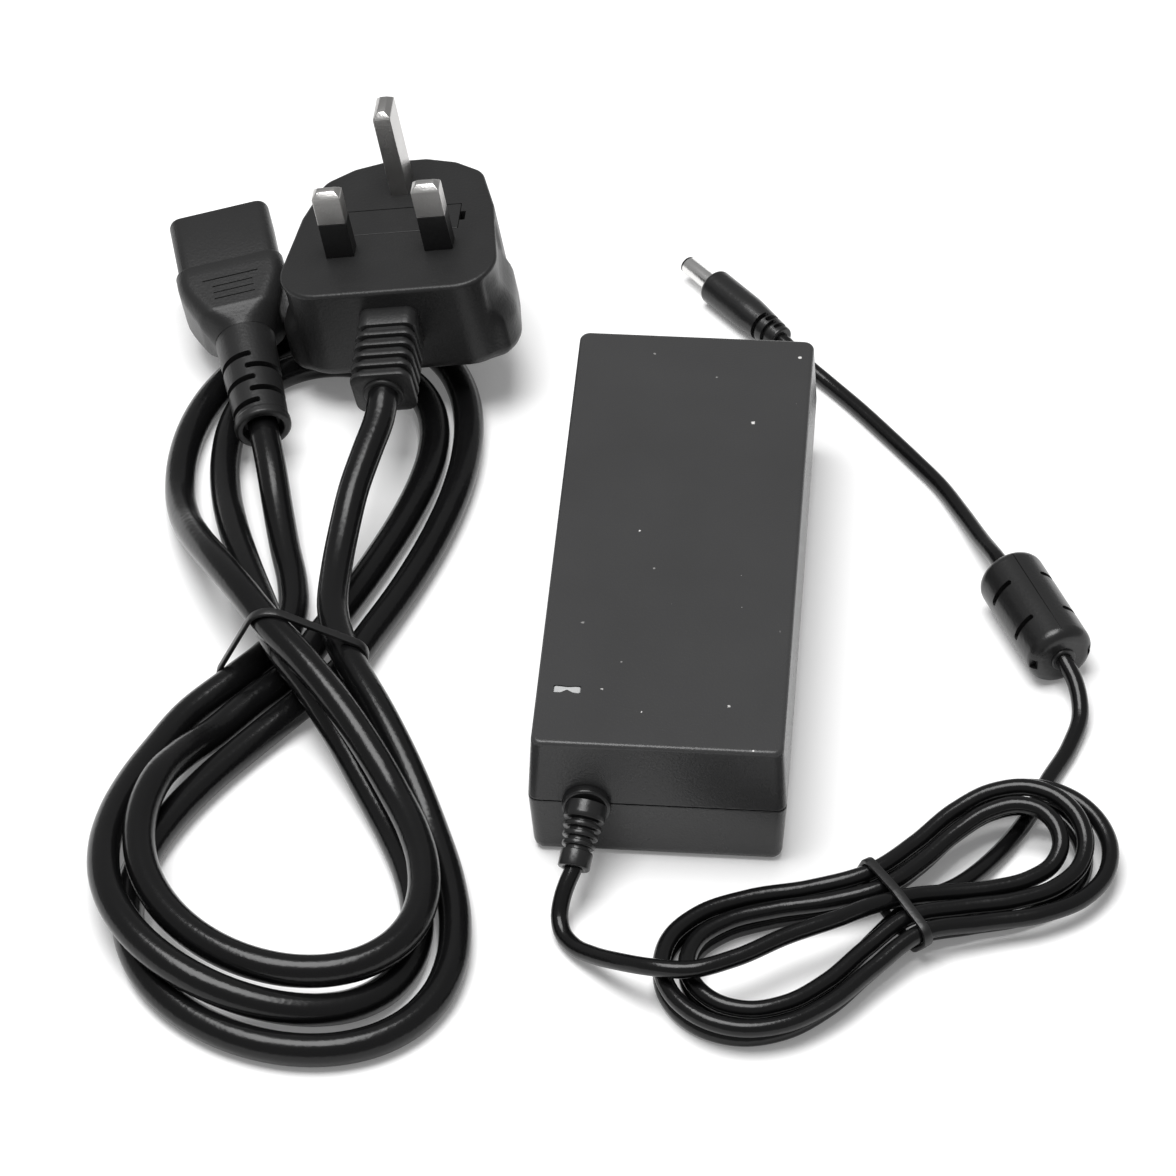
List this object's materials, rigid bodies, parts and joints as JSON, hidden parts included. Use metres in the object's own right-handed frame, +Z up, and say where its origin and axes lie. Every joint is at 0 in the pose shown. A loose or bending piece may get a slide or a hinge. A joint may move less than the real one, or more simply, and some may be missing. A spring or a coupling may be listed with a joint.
{
  "type": "laptop power adapter",
  "caption": "Two-shell laptop power adapter with a wound low-voltage lead, ferrite and barrel plug, and a separate fused three-pin mains lead.",
  "frame": {"origin": "bottom centre of the brick, on the surface that it lies on", "axes": "+Z up, +Y along the brick towards its mains inlet, +X to the right"},
  "size_m": [0.2156, 0.2462, 0.0584],
  "materials": {
    "case_plastic": "moulded ABS and polycarbonate with a fine spark-eroded grain",
    "window": "clear light pipe with a frosted face",
    "lamp": "clear epoxy lamp",
    "moulded_plastic": "hard moulded plastic, satin",
    "nickel": "nickel-plated brass, lightly brushed",
    "wire_insulation": "PVC wire insulation",
    "board": "glass-epoxy board with green solder mask",
    "fish_paper": "insulating fibre sheet",
    "fuse_body": "ceramic tube",
    "film": "epoxy-filled box",
    "ferrite": "sintered ferrite",
    "copper": "enamelled copper winding",
    "package": "moulded epoxy package",
    "sleeving": "shrink sleeve",
    "sink_aluminium": "mill finish",
    "cord_jacket": "flexible PVC, satin",
    "tie": "plastic-coated tie",
    "brass": "spring brass"
  },
  "bodies": {
    "brick": {"upper_housing": "case_plastic", "lower_housing": "case_plastic", "light_window": "window", "indicator_led": "lamp", "inlet_socket": "moulded_plastic", "inlet_line_pins": "nickel", "inlet_earth_pin": "nickel", "inlet_wires": "wire_insulation", "circuit_board": "board", "insulating_sheet": "fish_paper", "board_fuse": "fuse_body", "film_capacitor": "film", "choke_core": "ferrite", "choke_windings": "copper", "bridge_rectifier": "package", "bulk_capacitor": "sleeving", "primary_heat_sink": "sink_aluminium", "switching_transistor": "package", "heat_sink_screws": "nickel", "transformer_core": "ferrite", "transformer_bobbin": "moulded_plastic", "transformer_winding": "copper", "suppression_capacitor": "sleeving", "optocoupler": "package", "secondary_heat_sink": "sink_aluminium", "rectifier_diode": "package", "output_capacitors": "sleeving", "output_inductor": "ferrite", "output_wires": "wire_insulation", "output_strain_relief": "cord_jacket", "output_lead_first_run": "cord_jacket", "output_lead_hank": "cord_jacket", "output_lead_tie": "tie", "output_lead_second_run": "cord_jacket", "ferrite_core": "ferrite", "ferrite_jacket": "cord_jacket", "output_lead_last_run": "cord_jacket", "barrel_plug_grip": "cord_jacket", "barrel_plug_sleeve": "nickel", "barrel_plug_insulator": "moulded_plastic", "barrel_plug_contact": "brass"},
    "mains_lead": {"mains_plug_body": "cord_jacket", "plug_pin_carrier": "moulded_plastic", "live_pin": "nickel", "neutral_pin": "nickel", "earth_pin": "nickel", "pin_sleeves": "moulded_plastic", "fuse_clips": "brass", "plug_cord_guard": "cord_jacket", "mains_lead_plug_run": "cord_jacket", "mains_lead_hank": "cord_jacket", "mains_lead_tie": "tie", "mains_lead_connector_run": "cord_jacket", "connector_body": "cord_jacket", "connector_insert": "moulded_plastic", "connector_contacts": "brass", "connector_cord_guard": "cord_jacket"},
    "fuse_drawer": {"fuse_carrier": "moulded_plastic", "cartridge_fuse": "fuse_body", "fuse_end_caps": "nickel"}
  },
  "joints": [
    {"name": "mains_lead_lift", "type": "slide", "parent": "brick", "child": "mains_lead", "axis": [0, 0, 1], "range_m": [0, 0.08]},
    {"name": "fuse_drawer_slide", "type": "slide", "parent": "mains_lead", "child": "fuse_drawer", "axis": [-0.1547, 0.0062, 0.9879], "range_m": [0, 0.016]}
  ]
}
